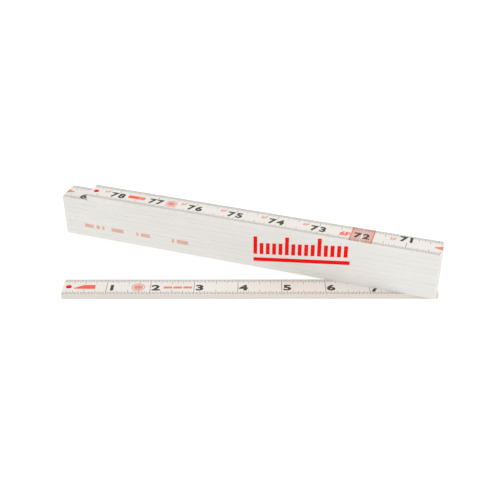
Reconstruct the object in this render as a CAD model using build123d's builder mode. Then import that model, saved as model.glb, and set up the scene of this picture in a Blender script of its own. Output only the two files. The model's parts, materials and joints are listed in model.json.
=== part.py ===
"""Ten-leaf zig-zag folding rule with concealed click joints, in millimetres.

The leaves lie in a stack along X, leaf 1 at the bottom. The origin is on the underside of leaf 1, on the axis
of the first pivot, which is at the stack's +X end. Leaf 1 is swung out of the stack towards -Y.
"""

import os

from build123d import *

os.makedirs("parts", exist_ok=True)

# The rule as a whole
leaf_count = 10
pivot_spacing = 200.0
swing_angle = 18.0

# Leaf
end_overhang = 17.0
leaf_width = 15.0
layer_pitch = 3.3
leaf_gap = 0.05
leaf_thickness = layer_pitch - leaf_gap
end_corner_radius = 1.2
edge_radius = 0.1

# Joint plates, moulded into the leaves behind a thin lip
plate_radius = 5.6
plate_thickness = 0.5
lip_radius = 5.1
lip_depth = 0.2
lug_count = 4
lug_width = 2.0
lug_reach = 6.6
mould_clearance = 0.02

# Click ribs on the spring plate and grooves in the index plate
rib_inner_radius = 1.95
rib_outer_radius = 4.6
rib_width = 0.8
rib_height = 0.33
groove_width = 1.1
groove_depth = 0.2

# Hollow rivet and the disc spring under its upper head
shank_radius = 1.5
rivet_bore_radius = 0.9
rivet_head_radius = 2.7
rivet_head_thickness = 0.45
index_hole_radius = shank_radius + 0.02
spring_hole_radius = shank_radius + 0.06
disc_inner_radius = 1.6
disc_outer_radius = 2.6
disc_thickness = 0.15
disc_height = 0.3
disc_lift = 0.02

# Wells in the leaves for the rivet heads
well_clearance = 0.5
well_radius = rivet_head_radius + well_clearance
well_end_clearance = 0.15
plate_depth = lip_depth + plate_thickness
lower_well_depth = plate_depth + rivet_head_thickness + well_end_clearance
upper_well_depth = plate_depth + disc_lift + disc_height + rivet_head_thickness + well_end_clearance


def leaf_bottom(number):
    """Plane of a leaf's underside: origin on the +X pivot axis, x axis along the leaf."""
    turn = swing_angle if number == 1 else 0.0
    return Plane((0, 0, (number - 1) * layer_pitch)).rotated((0, 0, turn))


def pivot_x(joint):
    """Where a joint's axis crosses its leaves: odd joints at the +X pivot, even joints at the other."""
    return 0.0 if joint % 2 == 1 else -pivot_spacing


def joint_plane(leaf, joint, height):
    """Plane at a height above a leaf's underside, with its origin on one joint's axis."""
    plane = leaf_bottom(leaf).offset(height)
    return Plane(plane.from_local_coords((pivot_x(joint), 0, 0)), x_dir=plane.x_dir, z_dir=plane.z_dir)


def plate_outline(clearance=0.0):
    """A round plate with lugs on its rim that key it into the leaf."""
    with BuildSketch() as outline:
        Circle(plate_radius + clearance)
        with PolarLocations(0, lug_count, start_angle=45):
            Rectangle(
                lug_reach + clearance,
                lug_width + 2 * clearance,
                align=(Align.MIN, Align.CENTER),
            )
    return outline.sketch


def joint_recess(face, inward, well_depth):
    """The space a leaf leaves for a joint: lip opening, seat of the plate behind it, well for the rivet head."""
    seat_outline = plate_outline(mould_clearance)
    with BuildPart() as recess:
        with BuildSketch(face):
            Circle(lip_radius)
        extrude(amount=inward * plate_depth)
        with BuildSketch(face.offset(inward * (lip_depth - mould_clearance))):
            add(seat_outline)
        extrude(amount=inward * (plate_thickness + 2 * mould_clearance))
        with BuildSketch(face):
            Circle(well_radius)
        extrude(amount=inward * well_depth)
    return recess.part


def make_leaf(number):
    """One leaf, with a recess on top for the joint above it and one underneath for the joint below."""
    bottom = leaf_bottom(number)
    left_end = -pivot_spacing
    recesses = []
    if number < leaf_count:
        recesses.append(joint_recess(joint_plane(number, number, leaf_thickness), -1, lower_well_depth))
    if number > 1:
        recesses.append(joint_recess(joint_plane(number, number - 1, 0), 1, upper_well_depth))
    if len(recesses) == 2:
        left_end -= end_overhang
    with BuildPart() as leaf:
        with BuildSketch(bottom) as outline:
            with Locations((left_end, 0)):
                Rectangle(
                    end_overhang - left_end,
                    leaf_width,
                    align=(Align.MIN, Align.CENTER),
                )
            fillet(outline.vertices(), end_corner_radius)
        extrude(amount=leaf_thickness)
        rims = leaf.faces().filter_by(Axis.Z).edges()
        fillet(rims, edge_radius)
        add(recesses, mode=Mode.SUBTRACT)
    return leaf


def make_index_plate(joint):
    """The lower plate, with a groove across it for every quarter turn."""
    top = joint_plane(joint, joint, leaf_thickness - lip_depth)
    outline = plate_outline()
    with BuildPart() as plate:
        with BuildSketch(top):
            add(outline)
            Circle(index_hole_radius, mode=Mode.SUBTRACT)
        extrude(amount=-plate_thickness)
        with BuildSketch(top):
            with PolarLocations(0, 4):
                with Locations((rib_inner_radius, 0)):
                    Rectangle(
                        rib_outer_radius - rib_inner_radius + 0.2,
                        groove_width,
                        align=(Align.MIN, Align.CENTER),
                    )
        extrude(amount=-groove_depth, mode=Mode.SUBTRACT)
    return plate


def make_spring_plate(joint):
    """The upper plate, with two ribs on its underside that click into the grooves."""
    underside = joint_plane(joint + 1, joint, lip_depth)
    outline = plate_outline()
    with BuildPart() as plate:
        with BuildSketch(underside):
            add(outline)
            Circle(spring_hole_radius, mode=Mode.SUBTRACT)
        extrude(amount=plate_thickness)
        with BuildSketch(underside):
            with PolarLocations(0, 2):
                with Locations((rib_inner_radius, 0)):
                    SlotOverall(
                        rib_outer_radius - rib_inner_radius,
                        rib_width,
                        align=(Align.MIN, Align.CENTER),
                    )
        extrude(amount=-rib_height)
        rib_tips = plate.faces().sort_by(Axis.Z)[:2].edges()
        fillet(rib_tips, rib_height / 2)
    return plate


def make_pivot_rivet(joint):
    """A hollow rivet through both plates, its lower head in the lower leaf's well."""
    axis_foot = joint_plane(joint, joint, leaf_thickness - plate_depth)
    side = Plane(axis_foot.origin, x_dir=(1, 0, 0), z_dir=(0, -1, 0))
    grip = 2 * plate_depth + leaf_gap + disc_lift + disc_height
    with BuildPart() as rivet:
        with BuildSketch(side):
            with BuildLine():
                Polyline(
                    (rivet_bore_radius, -rivet_head_thickness),
                    (rivet_head_radius, -rivet_head_thickness),
                    (rivet_head_radius, 0),
                    (shank_radius, 0),
                    (shank_radius, grip),
                    (rivet_head_radius, grip),
                    (rivet_head_radius, grip + rivet_head_thickness),
                    (rivet_bore_radius, grip + rivet_head_thickness),
                    close=True,
                )
            make_face()
        revolve(axis=Axis(axis_foot.origin, (0, 0, 1)))
        end_rims = rivet.edges().filter_by(GeomType.CIRCLE).filter_by(lambda rim: rim.radius > shank_radius)
        outer_rims = end_rims.group_by(Axis.Z)[0] + end_rims.group_by(Axis.Z)[-1]
        fillet(outer_rims, rivet_head_thickness / 2)
    return rivet


def make_disc_spring(joint):
    """A cone washer between the spring plate and the rivet's upper head."""
    plate_top = joint_plane(joint + 1, joint, plate_depth + disc_lift)
    side = Plane(plate_top.origin, x_dir=(1, 0, 0), z_dir=(0, -1, 0))
    with BuildPart() as disc:
        with BuildSketch(side):
            with BuildLine():
                Polyline(
                    (disc_inner_radius, disc_height - disc_thickness),
                    (disc_outer_radius, 0),
                    (disc_outer_radius, disc_thickness),
                    (disc_inner_radius, disc_height),
                    close=True,
                )
            make_face()
        revolve(axis=Axis(plate_top.origin, (0, 0, 1)))
    return disc


def export_piece(piece, name):
    piece.part.label = name
    export_step(piece.part, f"parts/{name}.step")


for leaf_number in range(1, leaf_count + 1):
    export_piece(make_leaf(leaf_number), f"leaf_{leaf_number:02d}")

for joint_number in range(1, leaf_count):
    export_piece(make_index_plate(joint_number), f"index_plate_{joint_number}")
    export_piece(make_spring_plate(joint_number), f"spring_plate_{joint_number}")
    export_piece(make_pivot_rivet(joint_number), f"pivot_rivet_{joint_number}")
    export_piece(make_disc_spring(joint_number), f"disc_spring_{joint_number}")
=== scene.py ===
import json
import math

import bmesh
import bpy
from mathutils import Matrix, Vector


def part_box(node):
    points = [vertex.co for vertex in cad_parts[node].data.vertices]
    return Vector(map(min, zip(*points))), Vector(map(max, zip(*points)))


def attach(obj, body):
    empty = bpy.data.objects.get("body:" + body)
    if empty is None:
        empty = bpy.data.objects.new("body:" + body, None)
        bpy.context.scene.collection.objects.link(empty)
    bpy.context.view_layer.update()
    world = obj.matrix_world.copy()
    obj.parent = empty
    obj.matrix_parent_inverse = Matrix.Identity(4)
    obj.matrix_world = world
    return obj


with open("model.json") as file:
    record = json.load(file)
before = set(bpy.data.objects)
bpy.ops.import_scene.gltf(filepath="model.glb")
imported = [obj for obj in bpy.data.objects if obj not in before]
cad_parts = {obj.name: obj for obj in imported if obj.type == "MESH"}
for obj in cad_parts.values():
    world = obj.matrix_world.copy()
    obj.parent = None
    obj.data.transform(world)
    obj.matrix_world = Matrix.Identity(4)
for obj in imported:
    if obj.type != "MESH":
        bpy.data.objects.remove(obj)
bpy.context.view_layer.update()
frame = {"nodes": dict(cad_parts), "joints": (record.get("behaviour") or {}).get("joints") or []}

# ---------------------------------------------------------------- sizes, read from the frame
MM = 0.001
INCH = 25.4 * MM
FOOT_INCHES = 12

joints = frame["joints"]
LEAVES = len(joints) + 1
SWING = -math.radians(joints[0]["range_deg"][0])
PIVOT_SPACING = joints[0]["pos_m"][0] - joints[1]["pos_m"][0]
leaf_low, leaf_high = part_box("leaf_02")
next_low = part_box("leaf_03")[0]
LEAF_WIDTH = leaf_high.y - leaf_low.y
LEAF_THICKNESS = leaf_high.z - leaf_low.z
LAYER_PITCH = next_low.z - leaf_low.z
OVERHANG = leaf_high.x - joints[0]["pos_m"][0]
TOTAL_LENGTH = LEAVES * PIVOT_SPACING

# The rounding of a leaf's long edges
EDGE_ROUND = 0.1 * MM

# How far printed ink stands proud of a leaf, how far inside the leaf it starts,
# and how much it is raised where it is printed over other ink
INK_PROUD = 0.012 * MM
INK_SUNK = 0.01 * MM
INK_OVER = 0.006 * MM


def over_print(place):
    """The same axes raised a little, for ink that is printed over other ink."""
    return place @ Matrix.Translation((0, 0, INK_OVER))


def leaf_frame(number):
    """From a leaf's own axes to the shared frame.

    On the leaf, x runs along it from its +X pivot, y across it and z up from its underside.
    """
    place = Matrix.Translation((0, 0, (number - 1) * LAYER_PITCH))
    if number == 1:
        place = place @ Matrix.Rotation(SWING, 4, "Z")
    return place


def top_frame(number):
    """A leaf's own axes, raised to its top face."""
    return leaf_frame(number) @ Matrix.Translation((0, 0, LEAF_THICKNESS))


def under_frame(number):
    """Axes on the underside: x along the leaf, y towards the viewer's side, z down."""
    return leaf_frame(number) @ Matrix.Rotation(math.pi, 4, "X")


def scale_x(number, distance):
    """Where a distance along the opened rule lies on a leaf: odd leaves run towards +X, even leaves back."""
    along = distance - (number - 1) * PIVOT_SPACING
    return along - PIVOT_SPACING if number % 2 else -along


def body_name(number):
    return f"link_{number}"


# ---------------------------------------------------------------- materials
class Nodes:
    """A short way to write a Principled material's node tree."""

    def __init__(self, name):
        self.material = bpy.data.materials.new(name)
        self.material.use_nodes = True
        self.tree = self.material.node_tree
        self.shader = self.tree.nodes["Principled BSDF"]
        self.position = self.node("ShaderNodeTexCoord").outputs["Object"]

    def node(self, kind, **settings):
        made = self.tree.nodes.new(kind)
        for key, value in settings.items():
            setattr(made, key, value)
        return made

    def link(self, source, target):
        self.tree.links.new(source, target)

    def stretched(self, scale, turn=0.0):
        """Object coordinates, turned about Z, then multiplied by one number for each axis."""
        turned = self.node("ShaderNodeMapping", vector_type="POINT")
        turned.inputs["Rotation"].default_value = (0, 0, -turn)
        self.link(self.position, turned.inputs["Vector"])
        scaled = self.node("ShaderNodeVectorMath", operation="MULTIPLY")
        scaled.inputs[1].default_value = scale
        self.link(turned.outputs["Vector"], scaled.inputs[0])
        return scaled.outputs["Vector"]

    def noise(self, vector, scale, detail=3.0, roughness=0.5):
        made = self.node("ShaderNodeTexNoise")
        made.inputs["Scale"].default_value = scale
        made.inputs["Detail"].default_value = detail
        made.inputs["Roughness"].default_value = roughness
        self.link(vector, made.inputs["Vector"])
        return made.outputs["Fac"]

    def ramp(self, factor, stops):
        """A value ramp from (position, value) pairs."""
        made = self.node("ShaderNodeValToRGB")
        band = made.color_ramp
        while len(band.elements) < len(stops):
            band.elements.new(0.5)
        for element, (place, value) in zip(band.elements, stops):
            element.position = place
            element.color = (value, value, value, 1)
        self.link(factor, made.inputs["Fac"])
        return made.outputs["Color"]

    def mix(self, factor, first, second):
        """One colour over another, each a colour or a socket, by a number or a socket."""
        made = self.node("ShaderNodeMix", data_type="RGBA")
        for socket, value in ((made.inputs[0], factor), (made.inputs[6], first), (made.inputs[7], second)):
            if isinstance(value, bpy.types.NodeSocket):
                self.link(value, socket)
            elif isinstance(value, tuple):
                socket.default_value = (*value, 1)
            else:
                socket.default_value = value
        return made.outputs[2]

    def map_range(self, factor, low, high):
        made = self.node("ShaderNodeMapRange")
        made.inputs["To Min"].default_value = low
        made.inputs["To Max"].default_value = high
        self.link(factor, made.inputs["Value"])
        return made.outputs["Result"]

    def bump(self, height, distance, strength=1.0):
        made = self.node("ShaderNodeBump")
        made.inputs["Strength"].default_value = strength
        made.inputs["Distance"].default_value = distance
        self.link(height, made.inputs["Height"])
        self.link(made.outputs["Normal"], self.shader.inputs["Normal"])


# Leaf colours: printed coat on the faces, bare edges, painted shade on the lowest leaf's edges, painted light
# on the roundings
COAT_COLOUR = (0.800, 0.765, 0.715)
EDGE_COLOUR = (0.770, 0.755, 0.725)
# Painted shade: the lowest leaf's edges, close to the floor, are darker and browner than the other edges
LOWEST_EDGE_PAINTED_SHADE = (0.665, 0.612, 0.552)
# Painted light: a paler colour on the roundings of the long edges, lifting the shade in the seams between
# leaves
ARRIS_PAINTED_LIGHT = (0.900, 0.890, 0.860)
ARRIS_PAINTED_LIGHT_COVER = [(0.08, 0.0), (0.35, 0.9), (0.85, 0.9), (0.99, 0.0)]
LEAF_DULL_COLOUR = (0.700, 0.675, 0.630)
FIBRE_COLOUR = (0.860, 0.850, 0.830)

# Leaf noises: streaks along the leaf, broad clouds and fine fibre specks, each with the ramp of its cover
STREAK_SCALE = (45, 700, 700)
STREAK_COVER = [(0.42, 0.0), (0.78, 0.55)]
CLOUD_SCALE = 35.0
CLOUD_COVER = [(0.45, 0.0), (0.8, 0.3)]
SPECK_SCALE = 3200.0
SPECK_COVER = [(0.66, 0.0), (0.74, 0.4)]
TONE_SPREAD = 0.012
TONE_STEPS = 5


def leaf_material(number):
    """Warm white glass-filled nylon: faint flow streaks along the leaf, fibre specks, a fine moulded grain.

    The printed faces have a slightly warmer white coat than the bare edges. Neighbours differ a little in tone.
    """
    n = Nodes(f"leaf_composite_{number:02d}")
    turn = SWING if number == 1 else 0.0
    tone = 1.0 - TONE_SPREAD * ((number * 7) % TONE_STEPS) / (TONE_STEPS - 1)
    normal = n.node("ShaderNodeSeparateXYZ")
    n.link(n.node("ShaderNodeNewGeometry").outputs["Normal"], normal.inputs[0])
    coated = n.node("ShaderNodeMath", operation="ABSOLUTE")
    n.link(normal.outputs["Z"], coated.inputs[0])
    # Painted shade: the lowest leaf gets darker edges, as though in shade near the floor
    edge = LOWEST_EDGE_PAINTED_SHADE if number == 1 else EDGE_COLOUR
    clean = n.mix(coated.outputs[0], tuple(c * tone for c in edge), tuple(c * tone for c in COAT_COLOUR))
    # Painted light: the roundings between faces and edges are made paler against the shade that falls in the
    # seams
    clean = n.mix(n.ramp(coated.outputs[0], ARRIS_PAINTED_LIGHT_COVER), clean, ARRIS_PAINTED_LIGHT)
    streaks = n.noise(n.stretched(STREAK_SCALE, turn), 1.0, 4.0, 0.6)
    clouds = n.noise(n.stretched((1, 1, 1), turn), CLOUD_SCALE, 3.0)
    specks = n.noise(n.stretched((1, 1, 1), turn), SPECK_SCALE, 2.0)
    colour = n.mix(n.ramp(streaks, STREAK_COVER), clean, LEAF_DULL_COLOUR)
    colour = n.mix(n.ramp(clouds, CLOUD_COVER), colour, LEAF_DULL_COLOUR)
    colour = n.mix(n.ramp(specks, SPECK_COVER), colour, FIBRE_COLOUR)
    n.link(colour, n.shader.inputs["Base Color"])
    n.link(n.map_range(streaks, 0.34, 0.56), n.shader.inputs["Roughness"])
    n.shader.inputs["Specular IOR Level"].default_value = 0.3
    n.bump(specks, 0.012 * MM, 0.6)
    return n.material


INK_SCALE = 900.0
INK_COVER = [(0.45, 0.0), (0.75, 1.0)]


def ink_material(name, colour, faded):
    """Screen-printed ink, a little uneven in cover and gloss."""
    n = Nodes(name)
    cover = n.noise(n.position, INK_SCALE, 3.0, 0.6)
    n.link(n.mix(n.ramp(cover, INK_COVER), colour, faded), n.shader.inputs["Base Color"])
    n.link(n.map_range(cover, 0.38, 0.6), n.shader.inputs["Roughness"])
    n.shader.inputs["Specular IOR Level"].default_value = 0.08
    n.bump(cover, 0.004 * MM, 0.5)
    return n.material


GRAIN_SCALE = (400, 9000, 4000)
STAIN_SCALE = 260.0
STAIN_COVER = [(0.4, 0.0), (0.7, 0.7)]


def steel_material(name, colour, shade, rough):
    """Rolled steel with fine grain lines and slight stains."""
    n = Nodes(name)
    grain = n.noise(n.stretched(GRAIN_SCALE), 1.0, 4.0, 0.7)
    stains = n.noise(n.position, STAIN_SCALE, 4.0, 0.6)
    n.link(n.mix(n.ramp(stains, STAIN_COVER), colour, shade), n.shader.inputs["Base Color"])
    n.shader.inputs["Metallic"].default_value = 1.0
    n.link(n.map_range(grain, rough - 0.08, rough + 0.14), n.shader.inputs["Roughness"])
    n.bump(grain, 0.003 * MM, 0.5)
    return n.material


BLACK_INK = ink_material("black_ink", (0.060, 0.054, 0.046), (0.110, 0.100, 0.086))
RED_INK = ink_material("red_ink", (0.820, 0.002, 0.001), (0.790, 0.012, 0.008))
LIGHT_RED_INK = ink_material("light_red_ink", (0.880, 0.110, 0.070), (0.840, 0.180, 0.130))
PALE_RED_INK = ink_material("pale_red_ink", (0.720, 0.210, 0.160), (0.700, 0.320, 0.260))
ORANGE_INK = ink_material("orange_ink", (0.780, 0.165, 0.060), (0.750, 0.230, 0.110))
DULL_ORANGE_INK = ink_material("dull_orange_ink", (0.700, 0.270, 0.170), (0.690, 0.350, 0.250))
PINK_INK = ink_material("pink_ink", (0.700, 0.410, 0.360), (0.700, 0.500, 0.440))
SPRING_STEEL = steel_material("spring_steel", (0.50, 0.51, 0.53), (0.38, 0.38, 0.39), 0.34)
RIVET_STEEL = steel_material("rivet_steel", (0.68, 0.67, 0.63), (0.52, 0.50, 0.46), 0.26)


# ---------------------------------------------------------------- printed shapes
class Print:
    """A mesh of thin closed patches of ink on one leaf."""

    def __init__(self, name, number, material, slot):
        self.name = name
        self.number = number
        self.material = material
        self.slot = slot
        self.mesh = bmesh.new()

    def patch(self, place, outline):
        """A closed slab over a flat outline, given as (x, y) points going round anticlockwise."""
        tops = [self.mesh.verts.new(place @ Vector((x, y, INK_PROUD))) for x, y in outline]
        feet = [self.mesh.verts.new(place @ Vector((x, y, -INK_SUNK))) for x, y in outline]
        self.mesh.faces.new(tops)
        self.mesh.faces.new(feet[::-1])
        for i in range(len(outline)):
            j = (i + 1) % len(outline)
            self.mesh.faces.new((tops[i], feet[i], feet[j], tops[j]))

    def bar(self, place, x, y, width, height):
        """A rectangle centred on x, from y upwards (or downwards for a negative height)."""
        low, high = sorted((y, y + height))
        half = width / 2
        self.patch(place, [(x - half, low), (x + half, low), (x + half, high), (x - half, high)])

    def ring(self, place, x, y, radius, line, steps=40):
        """A flat ring, as one closed band of quads."""
        inner = radius - line
        section = ((radius, INK_PROUD), (inner, INK_PROUD), (inner, -INK_SUNK), (radius, -INK_SUNK))
        rows = []
        for i in range(steps):
            angle = 2 * math.pi * i / steps
            row = []
            for r, z in section:
                point = Vector((x + r * math.cos(angle), y + r * math.sin(angle), z))
                row.append(self.mesh.verts.new(place @ point))
            rows.append(row)
        for i in range(steps):
            a, b = rows[i], rows[(i + 1) % steps]
            for k in range(len(section)):
                m = (k + 1) % len(section)
                self.mesh.faces.new((a[k], b[k], b[m], a[m]))

    def disc(self, place, x, y, radius, steps=28):
        corners = [2 * math.pi * i / steps for i in range(steps)]
        self.patch(place, [(x + radius * math.cos(a), y + radius * math.sin(a)) for a in corners])

    def text(self, place, words, x, y, height, widen=1.0, heavy=0.0):
        """Figures centred on (x, y), of the given height, drawn wider and bolder where asked."""
        glyphs = figure_mesh(words, heavy)
        scale = height / FIGURE_HEIGHT
        grow = Matrix.Diagonal((scale * widen, scale, 1, 1))
        move = place @ Matrix.Translation((x, y, 0)) @ grow
        start = len(self.mesh.verts)
        self.mesh.from_mesh(glyphs)
        self.mesh.verts.ensure_lookup_table()
        for vert in self.mesh.verts[start:]:
            vert.co = move @ vert.co

    def finish(self):
        """Turn the patches into a piece that rides on its leaf."""
        bmesh.ops.recalc_face_normals(self.mesh, faces=self.mesh.faces)
        data = bpy.data.meshes.new(self.name)
        self.mesh.to_mesh(data)
        self.mesh.free()
        data.materials.append(self.material)
        piece = bpy.data.objects.new(self.name, data)
        bpy.context.scene.collection.objects.link(piece)
        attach(piece, body_name(self.number))


# Height of a figure of Blender's own font at unit text size
FIGURE_HEIGHT = 0.73
_figures = {}


def figure_mesh(words, heavy):
    """A closed mesh of some figures at unit text size, centred on its own middle, made once and kept."""
    key = (words, heavy)
    if key not in _figures:
        curve = bpy.data.curves.new("figure", "FONT")
        curve.body = words
        curve.size = 1.0
        curve.resolution_u = 4
        curve.offset = heavy
        curve.extrude = 1.0
        holder = bpy.data.objects.new("figure", curve)
        data = bpy.data.meshes.new_from_object(holder)
        bpy.data.objects.remove(holder)
        bm = bmesh.new()
        bm.from_mesh(data)
        bmesh.ops.remove_doubles(bm, verts=bm.verts, dist=1e-5)
        xs = [v.co.x for v in bm.verts]
        ys = [v.co.y for v in bm.verts]
        middle = Vector(((min(xs) + max(xs)) / 2, (min(ys) + max(ys)) / 2, 0))
        for vert in bm.verts:
            vert.co -= middle
            vert.co.z = INK_PROUD if vert.co.z > 0 else -INK_SUNK
        bm.to_mesh(data)
        bm.free()
        _figures[key] = data
    return _figures[key]


# ---------------------------------------------------------------- inch scale on the top faces
# Ticks by the denominator of their fraction of an inch
FINEST = 32
TICK_LENGTHS = {32: 2.1 * MM, 16: 2.7 * MM, 8: 3.1 * MM, 4: 3.7 * MM, 2: 4.5 * MM}
TICK_WIDTH = 0.22 * MM
EDGE_MARGIN = 0.12 * MM
END_MARGIN = 1.2 * MM

# Inch lines and their figures
INCH_LINE_WIDTH = 0.26 * MM
INCH_LINE_CLEAR = 0.5 * MM
FIGURE_TALL = 5.2 * MM
FIGURE_SINK = 0.8 * MM
FIGURE_HEAVY = 0.045
FIGURE_ROOM = 5.0 * MM
ONE_FIGURE_WIDEN = 1.35
ONE_FIGURE_SHIFT = 3.2 * MM
TWO_FIGURE_WIDEN = 1.15
TWO_FIGURE_STEP = 2.45 * MM
SLIM_FIGURE_STEP = 2.1 * MM

# Figures near a pivot: how near they are, and how far they move
AFTER_PIVOT = 10 * MM
BEFORE_PIVOT = 24 * MM
AT_PIVOT = 2 * MM
PIVOT_FIGURE_SHIFT = 3.3 * MM
PIVOT_FIGURE_BACK = 1.5 * MM
END_FIGURE_SINK = 2.2 * MM

# The small foot count beside each inch, and the box and larger count at each whole foot
FOOT_MARK_SHIFT = 8.0 * MM
FOOT_MARK_RISE = 1.8 * MM
FOOT_MARK_TALL = 2.8 * MM
FOOT_MARK_HEAVY = 0.02
FOOT_COUNT_GAP = 3.6 * MM
FOOT_COUNT_SINK = 1.2 * MM
FOOT_COUNT_TALL = 4.0 * MM
FOOT_COUNT_WIDEN = 1.1
FOOT_BOX_HALF = 6.2 * MM
FOOT_LINE_WIDTH = 0.9 * MM
NO_FOOT_MARK = (77,)


def leaf_reach(number):
    """The printed stretch of a leaf's top, from its start to its far pivot, as distances along the rule."""
    start = (number - 1) * PIVOT_SPACING
    low = start - OVERHANG + END_MARGIN if number > 1 else 0.0
    return low, start + PIVOT_SPACING


def inch_marks(number):
    """Each mark of a leaf's inch scale: its count, its x on the leaf and its tick length, None on an inch."""
    low, high = leaf_reach(number)
    step = INCH / FINEST
    for count in range(math.ceil(low / step), math.floor(high / step) + 1):
        if count == 0:
            continue
        part = FINEST // math.gcd(count, FINEST)
        yield count, scale_x(number, count * step), TICK_LENGTHS.get(part)


def whole_inches(number):
    """Each whole inch whose figures fit on a leaf, its x on the leaf and its way along from the pivot."""
    for count, x, length in inch_marks(number):
        along = count * INCH / FINEST - (number - 1) * PIVOT_SPACING
        if length is None and (number == 1 or along > FIGURE_ROOM - OVERHANG):
            yield count // FINEST, x, along


def inch_ticks(printed, place, number):
    """The ticks between the inches, along both long edges."""
    edge = LEAF_WIDTH / 2 - EDGE_MARGIN
    for _, x, length in inch_marks(number):
        if length is not None:
            printed.bar(place, x, -edge, TICK_WIDTH, length)
            printed.bar(place, x, edge, TICK_WIDTH, -length)


def figure_rise(number, along):
    """How far off the leaf's middle line figures stand: further near a pivot, clear of the end marks."""
    if number > 1 and along < AFTER_PIVOT:
        return -PIVOT_FIGURE_SHIFT if number % 2 else PIVOT_FIGURE_SHIFT
    if number < LEAVES and along > PIVOT_SPACING - BEFORE_PIVOT:
        return -END_FIGURE_SINK
    return -FIGURE_SINK


def figure_shift(number, along):
    """Figures right at a pivot move towards the leaf's start, where they still show on the folded rule."""
    if abs(along) > AT_PIVOT:
        return 0.0
    return -PIVOT_FIGURE_BACK if number % 2 else PIVOT_FIGURE_BACK


def inch_figures(printed, place, number):
    """The inch lines and their figures: one figure stands beside its line, two stand astride it."""
    edge = LEAF_WIDTH / 2 - EDGE_MARGIN
    over = over_print(place)
    for inch, x, along in whole_inches(number):
        y = figure_rise(number, along)
        figures = str(inch)
        if len(figures) == 1:
            printed.bar(place, x, -edge, INCH_LINE_WIDTH, 2 * edge)
            printed.text(over, figures, x + ONE_FIGURE_SHIFT, y, FIGURE_TALL, ONE_FIGURE_WIDEN, FIGURE_HEAVY)
            continue
        for side in (-1, 1):
            gap = abs(side * edge - y) - FIGURE_TALL / 2 - INCH_LINE_CLEAR
            if gap > 0:
                printed.bar(place, x, side * edge, INCH_LINE_WIDTH, -side * gap)
        middle = x + figure_shift(number, along)
        for side, figure in zip((-1, 1), figures):
            step = side * (SLIM_FIGURE_STEP if "1" in figures else TWO_FIGURE_STEP)
            printed.text(over, figure, middle + step, y, FIGURE_TALL, TWO_FIGURE_WIDEN, FIGURE_HEAVY)


def foot_marks(light, pale, pink, place, number):
    """Small foot counts beside the inch figures, and a larger count and a tinted box at each whole foot."""
    edge = LEAF_WIDTH / 2 - EDGE_MARGIN
    for inch, x, along in whole_inches(number):
        if inch < FOOT_INCHES or inch in NO_FOOT_MARK:
            continue
        feet = f"{inch // FOOT_INCHES}F"
        if inch % FOOT_INCHES == 0:
            left = x - FOOT_BOX_HALF - FOOT_COUNT_GAP
            light.text(place, feet, left, -FOOT_COUNT_SINK, FOOT_COUNT_TALL, FOOT_COUNT_WIDEN, FIGURE_HEAVY)
            tint_width = FOOT_BOX_HALF - FOOT_LINE_WIDTH
            for side in (-1, 1):
                pale.bar(place, x + side * FOOT_BOX_HALF, -edge, FOOT_LINE_WIDTH, 2 * edge)
                pink.bar(place, x + side * FOOT_BOX_HALF / 2, -edge, tint_width, 2 * edge)
        elif number % 2 == 0 or along > AFTER_PIVOT:
            pale.text(place, feet, x - FOOT_MARK_SHIFT, FOOT_MARK_RISE, FOOT_MARK_TALL, heavy=FOOT_MARK_HEAVY)


# ---------------------------------------------------------------- centimetre scale on the undersides
# Ticks by the largest divisor that their count of millimetres shares with ten
MILLIMETRE_TICKS = {10: 3.8 * MM, 5: 2.8 * MM, 2: 2.0 * MM, 1: 2.0 * MM}
MILLIMETRE_TICK_WIDTH = 0.2 * MM
CENTIMETRE_TALL = 3.7 * MM
CENTIMETRE_WIDEN = 0.95
CENTIMETRE_HEAVY = 0.03
HAIR = 1e-6


def centimetre_scale(black, red, place, number):
    """Millimetre ticks along both long edges and a figure at each centimetre, red at each tenth."""
    start = (number - 1) * PIVOT_SPACING
    low = start if number > 1 else 0.0
    high = start + PIVOT_SPACING + (OVERHANG - END_MARGIN if number < LEAVES else 0.0)
    edge = LEAF_WIDTH / 2 - EDGE_MARGIN
    for count in range(math.ceil(low / MM - HAIR), math.floor(high / MM + HAIR) + 1):
        if count in (0, round(TOTAL_LENGTH / MM)):
            continue
        x = scale_x(number, count * MM)
        length = MILLIMETRE_TICKS[math.gcd(count, 10)]
        black.bar(place, x, -edge, MILLIMETRE_TICK_WIDTH, length)
        black.bar(place, x, edge, MILLIMETRE_TICK_WIDTH, -length)
        if count % 10 == 0:
            centimetre = count // 10
            ink = red if centimetre % 10 == 0 else black
            ink.text(place, str(centimetre), x, 0, CENTIMETRE_TALL, CENTIMETRE_WIDEN, CENTIMETRE_HEAVY)


# ---------------------------------------------------------------- red marks
END_DOT_INSET = 3.4 * MM
END_DOT_RISE = 0.2 * MM
END_DOT_RADIUS = 1.7 * MM

START_WEDGE_MARGIN = 0.25 * MM
START_WEDGE_LONG = 4.6 * MM
START_WEDGE_HALF = 2.2 * MM
START_WEDGE_TIP_HALF = 0.4 * MM

# Where the long wedge reaches its full height, as a share of its length
WEDGE_NECK = 0.45
# How far its tip dips, and the tip's own half height, as shares of half its height
WEDGE_DIP = 0.7
WEDGE_TIP = 0.2

# A badge: the line of its ring, the width of its bars, and the rest as shares of its radius
BADGE_LINE = 0.45 * MM
BADGE_BAR_WIDTH = 0.5 * MM
BADGE_DISC = 0.76
BADGE_BAR_STEP = 0.22
BADGE_BAR_HALF = 0.36
BADGE_BAR_FALL = 0.07

STROKE_PITCH = 0.72 * MM
STROKE_WIDTH = 0.62 * MM
STROKE_GAP_EVERY = 8


def end_dot(printed, place):
    """The red dot at each free end of the rule."""
    printed.disc(place, -PIVOT_SPACING + END_DOT_INSET, END_DOT_RISE, END_DOT_RADIUS)


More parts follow.
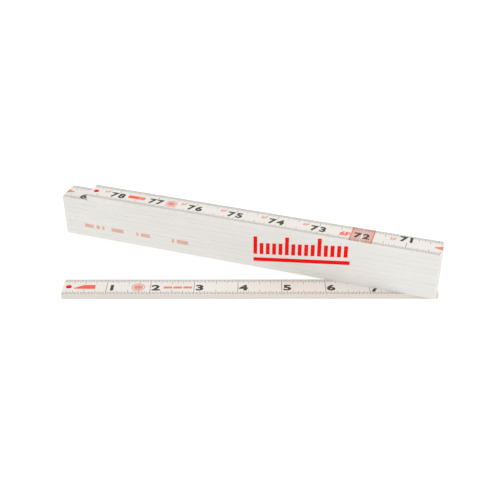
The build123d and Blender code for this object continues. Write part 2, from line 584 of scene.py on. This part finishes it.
def start_wedge(printed, place, number):
    """A wedge at the overhanging start of a leaf, its base on the leaf's end."""
    sign = -1 if number % 2 else 1
    end = sign * (OVERHANG - START_WEDGE_MARGIN) + (-PIVOT_SPACING if number % 2 else 0)
    tip = end - sign * START_WEDGE_LONG
    base, point = START_WEDGE_HALF, START_WEDGE_TIP_HALF
    corners = [(end, -base), (end, base), (tip, point), (tip, -point)]
    printed.patch(place, corners if sign > 0 else corners[::-1])


def long_wedge(printed, place, tip, tail, y, half):
    """A bar that narrows to a point at the zero end, where it dips a little."""
    neck = tip + WEDGE_NECK * (tail - tip)
    dip = y - WEDGE_DIP * half
    tip_half = WEDGE_TIP * half
    printed.patch(place, [(tip, dip - tip_half), (neck, y - half), (neck, y + half), (tip, dip + tip_half)])
    printed.patch(place, [(neck, y - half), (tail, y - half), (tail, y + half), (neck, y + half)])


def round_badge(pale, light, pink, place, x, y, radius):
    """A thin ring round a tinted disc, with a row of bars across the disc, tallest in the middle."""
    pale.ring(place, x, y, radius, BADGE_LINE)
    pink.disc(place, x, y, radius * BADGE_DISC)
    for step in (-2, -1, 0, 1, 2):
        half = radius * (BADGE_BAR_HALF - BADGE_BAR_FALL * abs(step))
        bar_x = x + step * radius * BADGE_BAR_STEP
        light.bar(over_print(place), bar_x, y - half, BADGE_BAR_WIDTH, 2 * half)


def stroke_row(printed, place, low, high, y, tall):
    """A row of short upright strokes, with a gap in place of every eighth."""
    for i in range(round((high - low) / STROKE_PITCH)):
        if (i + 1) % STROKE_GAP_EVERY:
            printed.bar(place, low + (i + 0.5) * STROKE_PITCH, y - tall / 2, STROKE_WIDTH, tall)


# ---------------------------------------------------------------- prints on the long edges of the stack
# How far round the small roundings a side print reaches, and in how many steps
WRAP_ANGLE = math.radians(70)
WRAP_STEPS = 4


def side_point(number, x, z, lift):
    """A point on a leaf's -Y edge face, following the rounding above and below, lifted off it."""
    bottom = (number - 1) * LAYER_PITCH
    centre = min(max(z, bottom + EDGE_ROUND), bottom + LEAF_THICKNESS - EDGE_ROUND)
    rise = (z - centre) / EDGE_ROUND
    out = math.sqrt(max(0.0, 1 - rise * rise))
    reach = EDGE_ROUND + lift
    return Vector((x, -(LEAF_WIDTH / 2 - EDGE_ROUND) - out * reach, centre + rise * reach))


def cut_at(outline, level, keep_above):
    """The part of a convex (x, z) outline on one side of a level."""
    kept = []
    for i, (x0, z0) in enumerate(outline):
        x1, z1 = outline[(i + 1) % len(outline)]
        inside0 = z0 >= level if keep_above else z0 <= level
        inside1 = z1 >= level if keep_above else z1 <= level
        if inside0:
            kept.append((x0, z0))
        if inside0 != inside1:
            share = (level - z0) / (z1 - z0)
            kept.append((x0 + share * (x1 - x0), level))
    return kept


def edge_levels(number):
    """Heights at which a print on a leaf's edge face is cut, closer together on the roundings."""
    bottom = (number - 1) * LAYER_PITCH
    angles = [WRAP_ANGLE * i / WRAP_STEPS for i in range(WRAP_STEPS, -1, -1)]
    low = [bottom + EDGE_ROUND * (1 - math.sin(a)) for a in angles]
    high = [bottom + LEAF_THICKNESS - EDGE_ROUND * (1 - math.sin(a)) for a in angles[::-1]]
    return low + high


def side_print(printed, number, outline):
    """A convex (x, z) outline wrapped onto one leaf's edge face, as closed slabs."""
    levels = edge_levels(number)
    for low, high in zip(levels, levels[1:]):
        part = cut_at(cut_at(outline, low, True), high, False)
        if len(part) < 3:
            continue
        outer = [printed.mesh.verts.new(side_point(number, x, z, INK_PROUD)) for x, z in part]
        inner = [printed.mesh.verts.new(side_point(number, x, z, -INK_SUNK)) for x, z in part]
        printed.mesh.faces.new(outer)
        printed.mesh.faces.new(inner[::-1])
        for i in range(len(part)):
            j = (i + 1) % len(part)
            printed.mesh.faces.new((outer[i], inner[i], inner[j], outer[j]))


# The comb mark: its ends along the stack, the height and rise of its foot, its bars and the bar below them
MARK_LEFT = -91.5 * MM
MARK_RIGHT = -33.5 * MM
MARK_FOOT = 12.3 * MM
MARK_SLOPE = 0.155
MARK_TALL = 12.3 * MM
MARK_SHORT = 7.8 * MM
MARK_DROP = 2.4 * MM
MARK_LINE = 2.6 * MM
MARK_BARS = 15
MARK_BAR_SHARE = 0.6
MARK_TALL_EVERY = 5


def comb_mark():
    """Outlines of the mark on the stack's side: upright bars on a rising line, over a long plain bar."""
    outlines = []

    def foot(x):
        return MARK_FOOT + (x - MARK_LEFT) * MARK_SLOPE

    pitch = (MARK_RIGHT - MARK_LEFT) / MARK_BARS
    for i in range(MARK_BARS):
        x0 = MARK_LEFT + i * pitch
        x1 = x0 + MARK_BAR_SHARE * pitch
        tall = MARK_SHORT if i % MARK_TALL_EVERY else MARK_TALL
        outlines.append([(x0, foot(x0)), (x1, foot(x1)), (x1, foot(x1) + tall), (x0, foot(x0) + tall)])
    left = foot(MARK_LEFT) - MARK_DROP
    right = foot(MARK_RIGHT) - MARK_DROP
    outlines.append([
        (MARK_LEFT, left - MARK_LINE), (MARK_RIGHT, right - MARK_LINE), (MARK_RIGHT, right), (MARK_LEFT, left)
    ])
    return outlines


# The leaf with the short strokes on its edge, the ends of each group in millimetres, and a stroke's size
SIDE_STROKE_LEAF = 4
SIDE_STROKE_GROUPS = (
    (-203, -196.5), (-195.0, -192.5), (-191, -189.5), (-184.7, -176.2),
    (-167.7, -166.2), (-164.6, -158.1), (-144.0, -142.5), (-140.6, -133.1),
)
SIDE_STROKE_SINK = 0.2 * MM
SIDE_STROKE_HALF = 1.25 * MM
SIDE_STROKE_PITCH = 0.75 * MM
SIDE_STROKE_SHARE = 0.68


def side_strokes(printed, number):
    """Groups of short strokes on one leaf's edge."""
    middle = (number - 1) * LAYER_PITCH + LEAF_THICKNESS / 2 - SIDE_STROKE_SINK
    foot, head = middle - SIDE_STROKE_HALF, middle + SIDE_STROKE_HALF
    for low, high in SIDE_STROKE_GROUPS:
        for i in range(int((high - low) * MM / SIDE_STROKE_PITCH)):
            x0 = low * MM + i * SIDE_STROKE_PITCH
            x1 = x0 + SIDE_STROKE_SHARE * SIDE_STROKE_PITCH
            side_print(printed, number, [(x0, foot), (x1, foot), (x1, head), (x0, head)])


# ---------------------------------------------------------------- put the prints on the leaves
# Marks on the tops of the first and the last leaf: x along the leaf from its +X pivot, y across it
FIRST_WEDGE = {"tip": -193.3 * MM, "tail": -181.2 * MM, "y": 0, "half": 1.9 * MM}
FIRST_BADGE = {"x": -156.2 * MM, "y": -0.4 * MM, "radius": 3.9 * MM}
FIRST_STROKES = {"low": -141.6 * MM, "high": -125.2 * MM, "y": -0.6 * MM, "tall": 2.0 * MM}
LAST_BAR = {"x": -170.9 * MM, "y": -1.6 * MM, "width": 7.2 * MM, "height": 3.2 * MM}
LAST_STROKES = {"low": -167.0 * MM, "high": -163.4 * MM, "y": 0, "tall": 3.2 * MM}
LAST_BADGE = {"x": -146.0 * MM, "y": -0.4 * MM, "radius": 3.6 * MM}


def print_leaf(number):
    """All that is printed on one leaf, as one piece for each ink and kind of mark."""
    top = top_frame(number)
    under = under_frame(number)
    inches = Print(f"inch_scale_{number:02d}", number, BLACK_INK, "black_ink")
    inch_ticks(inches, over_print(top), number)
    inch_figures(inches, over_print(top), number)
    inches.finish()

    red = Print(f"red_marks_{number:02d}", number, RED_INK, "red_ink")
    orange = Print(f"orange_marks_{number:02d}", number, ORANGE_INK, "red_ink")
    pink = Print(f"foot_boxes_{number:02d}", number, PINK_INK, "red_ink")
    pale = Print(f"foot_marks_{number:02d}", number, PALE_RED_INK, "red_ink")
    light = Print(f"bright_marks_{number:02d}", number, LIGHT_RED_INK, "red_ink")
    foot_marks(light, pale, pink, top, number)
    if number in (1, LEAVES):
        end_dot(red, top)
    if number == 1:
        long_wedge(light, top, **FIRST_WEDGE)
        round_badge(pale, light, pink, top, **FIRST_BADGE)
        stroke_row(orange, top, **FIRST_STROKES)
    if number == LEAVES:
        light.bar(top, **LAST_BAR)
        stroke_row(light, top, **LAST_STROKES)
        round_badge(pale, light, pink, top, **LAST_BADGE)

    centimetres = Print(f"centimetre_scale_{number:02d}", number, BLACK_INK, "black_ink")
    centimetre_scale(centimetres, red, under, number)
    centimetres.finish()

    if number > 1:
        for outline in comb_mark():
            side_print(red, number, outline)
    red.finish()

    dull_orange = Print(f"end_marks_{number:02d}", number, DULL_ORANGE_INK, "red_ink")
    if number > 1:
        start_wedge(dull_orange, top, number)
    if number == SIDE_STROKE_LEAF:
        side_strokes(dull_orange, number)
    for marks in (light, pale, pink, orange, dull_orange):
        if marks.mesh.faces:
            marks.finish()


for leaf_number in range(1, LEAVES + 1):
    print_leaf(leaf_number)

# ---------------------------------------------------------------- materials on the CAD pieces
for name, piece in frame["nodes"].items():
    if name.startswith("leaf_"):
        material = leaf_material(int(name[-2:]))
    elif name.startswith("pivot_rivet"):
        material = RIVET_STEEL
    else:
        material = SPRING_STEEL
    piece.data.materials.clear()
    piece.data.materials.append(material)


# ---------------------------------------------------------------- floor, light and camera
FLOOR_HALF = 6.0
FLOOR_DROP = 0.05 * MM
FLOOR_SHADES = ((0.30, 0.30, 0.30), (0.32, 0.32, 0.32))
FLOOR_GLOW = 0.78

# Heights above the horizon, from 0 to 1, between which the room's white fades, and its strength overhead
ROOM_FADE = (0.05, 0.35)
ROOM_OVERHEAD = 0.70

# Each softbox: name, azimuth and elevation in degrees, distance, size and power
SOFTBOXES = (
    ("key_softbox", 35, 50, 1.3, (1.2, 0.9), 5.0),
    ("top_softbox", 160, 75, 1.4, (1.4, 1.0), 5.2),
)
LIGHT_TARGET = (-0.0999, -0.0305, 0.015)

CAMERA_TARGET = (-0.0862, -0.0305, 0.0304)
CAMERA_AZIMUTH = 17.94
CAMERA_ELEVATION = 33.30
CAMERA_DISTANCE = 0.4600
CAMERA_LENS = 59.13
CAMERA_SENSOR = 36.0


def make_floor():
    """A pale floor, lit from below as on a light table, so that shadows on it stay faint."""
    data = bpy.data.meshes.new("floor")
    corners = [(x * FLOOR_HALF, y * FLOOR_HALF, 0) for x, y in ((-1, -1), (1, -1), (1, 1), (-1, 1))]
    data.from_pydata(corners, [], [(0, 1, 2, 3)])
    floor = bpy.data.objects.new("floor", data)
    floor.location.z = -FLOOR_DROP
    bpy.context.scene.collection.objects.link(floor)
    n = Nodes("floor_white")
    n.link(n.mix(n.noise(n.position, 3.0), *FLOOR_SHADES), n.shader.inputs["Base Color"])
    n.shader.inputs["Emission Color"].default_value = (1.0, 1.0, 1.0, 1)
    n.shader.inputs["Emission Strength"].default_value = FLOOR_GLOW
    n.shader.inputs["Roughness"].default_value = 0.9
    n.shader.inputs["Specular IOR Level"].default_value = 0.1
    data.materials.append(n.material)


def aim(thing, place, target):
    """Put a light or camera at a place, pointing at a target."""
    thing.location = place
    thing.rotation_euler = (Vector(target) - Vector(place)).to_track_quat("-Z", "Y").to_euler()


def area_light(name, place, target, size, power):
    """A rectangular white softbox, pointing at a target."""
    data = bpy.data.lights.new(name, "AREA")
    data.shape = "RECTANGLE"
    data.size, data.size_y = size
    data.energy = power
    light = bpy.data.objects.new(name, data)
    bpy.context.scene.collection.objects.link(light)
    aim(light, place, target)


def make_world():
    """A white room: full white at the horizon, and a little less overhead."""
    world = bpy.data.worlds.new("studio")
    world.use_nodes = True
    tree = world.node_tree
    direction = tree.nodes.new("ShaderNodeTexCoord")
    height = tree.nodes.new("ShaderNodeSeparateXYZ")
    tree.links.new(direction.outputs["Generated"], height.inputs[0])
    fade = tree.nodes.new("ShaderNodeMapRange")
    fade.interpolation_type = "SMOOTHSTEP"
    for socket, value in zip(("From Min", "From Max", "To Min", "To Max"), (*ROOM_FADE, 1.0, ROOM_OVERHEAD)):
        fade.inputs[socket].default_value = value
    tree.links.new(height.outputs["Z"], fade.inputs["Value"])
    background = tree.nodes["Background"]
    background.inputs["Color"].default_value = (1.0, 1.0, 1.0, 1)
    tree.links.new(fade.outputs["Result"], background.inputs["Strength"])
    bpy.context.scene.world = world


def from_angles(target, azimuth, elevation, distance):
    """A place seen from a target at an azimuth (0 is -Y, towards +X) and an elevation, in degrees."""
    az, el = math.radians(azimuth), math.radians(elevation)
    way = Vector((math.sin(az) * math.cos(el), -math.cos(az) * math.cos(el), math.sin(el)))
    return Vector(target) + distance * way


make_floor()
make_world()
for light_name, azimuth, elevation, distance, size, power in SOFTBOXES:
    area_light(light_name, from_angles(LIGHT_TARGET, azimuth, elevation, distance), LIGHT_TARGET, size, power)

camera_data = bpy.data.cameras.new("camera")
camera_data.lens = CAMERA_LENS
camera_data.sensor_width = CAMERA_SENSOR
camera_data.clip_start = 0.01
camera = bpy.data.objects.new("camera", camera_data)
bpy.context.scene.collection.objects.link(camera)
aim(camera, from_angles(CAMERA_TARGET, CAMERA_AZIMUTH, CAMERA_ELEVATION, CAMERA_DISTANCE), CAMERA_TARGET)
bpy.context.scene.camera = camera
bpy.context.scene.view_settings.view_transform = "Standard"
